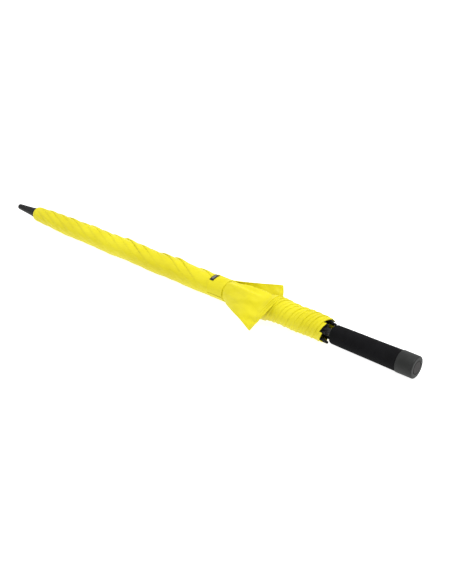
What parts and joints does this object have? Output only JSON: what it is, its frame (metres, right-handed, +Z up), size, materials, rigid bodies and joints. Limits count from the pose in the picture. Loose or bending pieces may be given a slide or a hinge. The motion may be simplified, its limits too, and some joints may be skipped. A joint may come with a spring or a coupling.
{
  "type": "golf umbrella",
  "caption": "Furled golf umbrella with a rolled yellow canopy, strap, straight shaft, rib and stretcher frame, plastic ferrule and straight foam handle.",
  "frame": {"origin": "centre of the underside of the furled umbrella as it lies, below the middle of the shaft's axis, with the shaft level", "axes": "+X along the shaft from the ferrule to the handle's end, +Z up, -Y towards the front flap of the canopy"},
  "size_m": [0.95, 0.1245, 0.046],
  "materials": {
    "yellow_fabric": "light woven polyester, satin",
    "yellow_webbing": "doubled and stitched canopy fabric",
    "black_label": "woven label",
    "black_plastic": "satin moulded plastic",
    "black_foam": "matte closed-cell foam",
    "graphite": "smooth black glass fibre",
    "steel": "blackened and plain steel",
    "dark_metal": "dark satin disc"
  },
  "bodies": {
    "shaft": {"shaft_tube": "graphite", "ferrule": "black_plastic", "canopy_washer": "black_plastic", "crown": "black_plastic", "crown_ring_wire": "steel", "crown_rivet": "steel", "catch_spring": "steel", "handle_core": "black_plastic", "foam_grip": "black_foam", "end_cap": "black_plastic", "end_disc": "dark_metal"},
    "rib_1": {"rib_1": "graphite", "rib_tip_1": "black_plastic", "rib_clip_1": "black_plastic"},
    "rib_2": {"rib_2": "graphite", "rib_tip_2": "black_plastic", "rib_clip_2": "black_plastic"},
    "rib_3": {"rib_3": "graphite", "rib_tip_3": "black_plastic", "rib_clip_3": "black_plastic"},
    "rib_4": {"rib_4": "graphite", "rib_tip_4": "black_plastic", "rib_clip_4": "black_plastic"},
    "rib_5": {"rib_5": "graphite", "rib_tip_5": "black_plastic", "rib_clip_5": "black_plastic", "strap": "yellow_webbing"},
    "rib_6": {"rib_6": "graphite", "rib_tip_6": "black_plastic", "rib_clip_6": "black_plastic"},
    "rib_7": {"rib_7": "graphite", "rib_tip_7": "black_plastic", "rib_clip_7": "black_plastic"},
    "rib_8": {"rib_8": "graphite", "rib_tip_8": "black_plastic", "rib_clip_8": "black_plastic"},
    "stretcher_1": {"stretcher_1": "steel"},
    "stretcher_2": {"stretcher_2": "steel"},
    "stretcher_3": {"stretcher_3": "steel"},
    "stretcher_4": {"stretcher_4": "steel"},
    "stretcher_5": {"stretcher_5": "steel"},
    "stretcher_6": {"stretcher_6": "steel"},
    "stretcher_7": {"stretcher_7": "steel"},
    "stretcher_8": {"stretcher_8": "steel"},
    "runner": {"runner": "black_plastic", "runner_ring_wire": "steel"},
    "panel_1": {"canopy_panel_1": "yellow_fabric"},
    "panel_2": {"canopy_panel_2": "yellow_fabric", "canopy_flap_front": "yellow_fabric"},
    "panel_3": {"canopy_panel_3": "yellow_fabric"},
    "panel_4": {"canopy_panel_4": "yellow_fabric"},
    "panel_5": {"canopy_panel_5": "yellow_fabric"},
    "panel_6": {"canopy_panel_6": "yellow_fabric"},
    "panel_7": {"canopy_panel_7": "yellow_fabric", "canopy_flap_back": "yellow_fabric"},
    "panel_8": {"canopy_panel_8": "yellow_fabric"},
    "catch": {"top_catch": "steel"},
    "strap_tail": {"strap_tail": "yellow_webbing", "strap_label": "black_label"}
  },
  "joints": [
    {"name": "canopy_open", "type": "hinge", "parent": "shaft", "child": "rib_1", "pos_m": [-0.409, -0.00402, 0.0327], "axis": [0, -0.9239, -0.3827], "range_deg": [0, 70], "deforming": ["canopy_panel_1", "canopy_panel_2", "canopy_panel_3", "canopy_panel_4", "canopy_panel_5", "canopy_panel_6", "canopy_panel_7", "canopy_panel_8", "canopy_flap_front", "canopy_flap_back", "strap", "strap_tail", "strap_label"]},
    {"name": "rib_2_fold", "type": "hinge", "parent": "shaft", "child": "rib_2", "pos_m": [-0.409, -0.0097, 0.02702], "axis": [0, -0.3827, -0.9239], "range_deg": [0, 70]},
    {"name": "rib_3_fold", "type": "hinge", "parent": "shaft", "child": "rib_3", "pos_m": [-0.409, -0.0097, 0.01898], "axis": [0, 0.3827, -0.9239], "range_deg": [0, 70]},
    {"name": "rib_4_fold", "type": "hinge", "parent": "shaft", "child": "rib_4", "pos_m": [-0.409, -0.00402, 0.0133], "axis": [0, 0.9239, -0.3827], "range_deg": [0, 70]},
    {"name": "rib_5_fold", "type": "hinge", "parent": "shaft", "child": "rib_5", "pos_m": [-0.409, 0.00402, 0.0133], "axis": [0, 0.9239, 0.3827], "range_deg": [0, 70]},
    {"name": "rib_6_fold", "type": "hinge", "parent": "shaft", "child": "rib_6", "pos_m": [-0.409, 0.0097, 0.01898], "axis": [0, 0.3827, 0.9239], "range_deg": [0, 70]},
    {"name": "rib_7_fold", "type": "hinge", "parent": "shaft", "child": "rib_7", "pos_m": [-0.409, 0.0097, 0.02702], "axis": [0, -0.3827, 0.9239], "range_deg": [0, 70]},
    {"name": "rib_8_fold", "type": "hinge", "parent": "shaft", "child": "rib_8", "pos_m": [-0.409, 0.00402, 0.0327], "axis": [0, -0.9239, 0.3827], "range_deg": [0, 70]},
    {"name": "stretcher_1_fold", "type": "hinge", "parent": "rib_1", "child": "stretcher_1", "pos_m": [-0.089, -0.00402, 0.0327], "axis": [0, -0.9239, -0.3827], "range_deg": [-140, 0]},
    {"name": "stretcher_2_fold", "type": "hinge", "parent": "rib_2", "child": "stretcher_2", "pos_m": [-0.089, -0.0097, 0.02702], "axis": [0, -0.3827, -0.9239], "range_deg": [-140, 0]},
    {"name": "stretcher_3_fold", "type": "hinge", "parent": "rib_3", "child": "stretcher_3", "pos_m": [-0.089, -0.0097, 0.01898], "axis": [0, 0.3827, -0.9239], "range_deg": [-140, 0]},
    {"name": "stretcher_4_fold", "type": "hinge", "parent": "rib_4", "child": "stretcher_4", "pos_m": [-0.089, -0.00402, 0.0133], "axis": [0, 0.9239, -0.3827], "range_deg": [-140, 0]},
    {"name": "stretcher_5_fold", "type": "hinge", "parent": "rib_5", "child": "stretcher_5", "pos_m": [-0.089, 0.00402, 0.0133], "axis": [0, 0.9239, 0.3827], "range_deg": [-140, 0]},
    {"name": "stretcher_6_fold", "type": "hinge", "parent": "rib_6", "child": "stretcher_6", "pos_m": [-0.089, 0.0097, 0.01898], "axis": [0, 0.3827, 0.9239], "range_deg": [-140, 0]},
    {"name": "stretcher_7_fold", "type": "hinge", "parent": "rib_7", "child": "stretcher_7", "pos_m": [-0.089, 0.0097, 0.02702], "axis": [0, -0.3827, 0.9239], "range_deg": [-140, 0]},
    {"name": "stretcher_8_fold", "type": "hinge", "parent": "rib_8", "child": "stretcher_8", "pos_m": [-0.089, 0.00402, 0.0327], "axis": [0, -0.9239, 0.3827], "range_deg": [-140, 0]},
    {"name": "runner_fold", "type": "hinge", "parent": "stretcher_1", "child": "runner", "pos_m": [0.231, -0.00402, 0.0327], "axis": [0, -0.9239, -0.3827], "range_deg": [0, 70]},
    {"name": "panel_1_spread", "type": "hinge", "parent": "rib_1", "child": "panel_1", "pos_m": [-0.41418, -0.00237, 0.02537], "axis": [-0.5432, 0.5937, -0.5937], "range_deg": [0, 50.72]},
    {"name": "panel_2_spread", "type": "hinge", "parent": "rib_2", "child": "panel_2", "pos_m": [-0.41418, -0.00335, 0.023], "axis": [-0.5432, 0.8396, 0], "range_deg": [0, 50.72]},
    {"name": "panel_3_spread", "type": "hinge", "parent": "rib_3", "child": "panel_3", "pos_m": [-0.41418, -0.00237, 0.02063], "axis": [-0.5432, 0.5937, 0.5937], "range_deg": [0, 50.72]},
    {"name": "panel_4_spread", "type": "hinge", "parent": "rib_4", "child": "panel_4", "pos_m": [-0.41418, 0, 0.01965], "axis": [-0.5432, 0, 0.8396], "range_deg": [0, 50.72]},
    {"name": "panel_5_spread", "type": "hinge", "parent": "rib_5", "child": "panel_5", "pos_m": [-0.41418, 0.00237, 0.02063], "axis": [-0.5432, -0.5937, 0.5937], "range_deg": [0, 50.72]},
    {"name": "panel_6_spread", "type": "hinge", "parent": "rib_6", "child": "panel_6", "pos_m": [-0.41418, 0.00335, 0.023], "axis": [-0.5432, -0.8396, 0], "range_deg": [0, 50.72]},
    {"name": "panel_7_spread", "type": "hinge", "parent": "rib_7", "child": "panel_7", "pos_m": [-0.41418, 0.00237, 0.02537], "axis": [-0.5432, -0.5937, -0.5937], "range_deg": [0, 50.72]},
    {"name": "panel_8_spread", "type": "hinge", "parent": "rib_8", "child": "panel_8", "pos_m": [-0.41418, 0, 0.02635], "axis": [-0.5432, 0, -0.8396], "range_deg": [0, 50.72]},
    {"name": "catch_press", "type": "slide", "parent": "shaft", "child": "catch", "axis": [0, 0, -1], "range_m": [0, 0.003], "stiffness_N_per_m": 300, "deforming": ["catch_spring"]},
    {"name": "strap_open", "type": "hinge", "parent": "rib_5", "child": "strap_tail", "pos_m": [0.048, -0.02077, 0.01877], "axis": [1, 0, 0], "range_deg": [0, 110]}
  ],
  "couplings": [
    {"joint": "rib_2_fold", "follows": "canopy_open", "ratio": 1},
    {"joint": "rib_3_fold", "follows": "canopy_open", "ratio": 1},
    {"joint": "rib_4_fold", "follows": "canopy_open", "ratio": 1},
    {"joint": "rib_5_fold", "follows": "canopy_open", "ratio": 1},
    {"joint": "rib_6_fold", "follows": "canopy_open", "ratio": 1},
    {"joint": "rib_7_fold", "follows": "canopy_open", "ratio": 1},
    {"joint": "rib_8_fold", "follows": "canopy_open", "ratio": 1},
    {"joint": "stretcher_1_fold", "follows": "canopy_open", "ratio": -2},
    {"joint": "stretcher_2_fold", "follows": "canopy_open", "ratio": -2},
    {"joint": "stretcher_3_fold", "follows": "canopy_open", "ratio": -2},
    {"joint": "stretcher_4_fold", "follows": "canopy_open", "ratio": -2},
    {"joint": "stretcher_5_fold", "follows": "canopy_open", "ratio": -2},
    {"joint": "stretcher_6_fold", "follows": "canopy_open", "ratio": -2},
    {"joint": "stretcher_7_fold", "follows": "canopy_open", "ratio": -2},
    {"joint": "stretcher_8_fold", "follows": "canopy_open", "ratio": -2},
    {"joint": "runner_fold", "follows": "canopy_open", "ratio": 1},
    {"joint": "panel_1_spread", "follows": "canopy_open", "ratio": 0.72455},
    {"joint": "panel_2_spread", "follows": "canopy_open", "ratio": 0.72455},
    {"joint": "panel_3_spread", "follows": "canopy_open", "ratio": 0.72455},
    {"joint": "panel_4_spread", "follows": "canopy_open", "ratio": 0.72455},
    {"joint": "panel_5_spread", "follows": "canopy_open", "ratio": 0.72455},
    {"joint": "panel_6_spread", "follows": "canopy_open", "ratio": 0.72455},
    {"joint": "panel_7_spread", "follows": "canopy_open", "ratio": 0.72455},
    {"joint": "panel_8_spread", "follows": "canopy_open", "ratio": 0.72455}
  ]
}
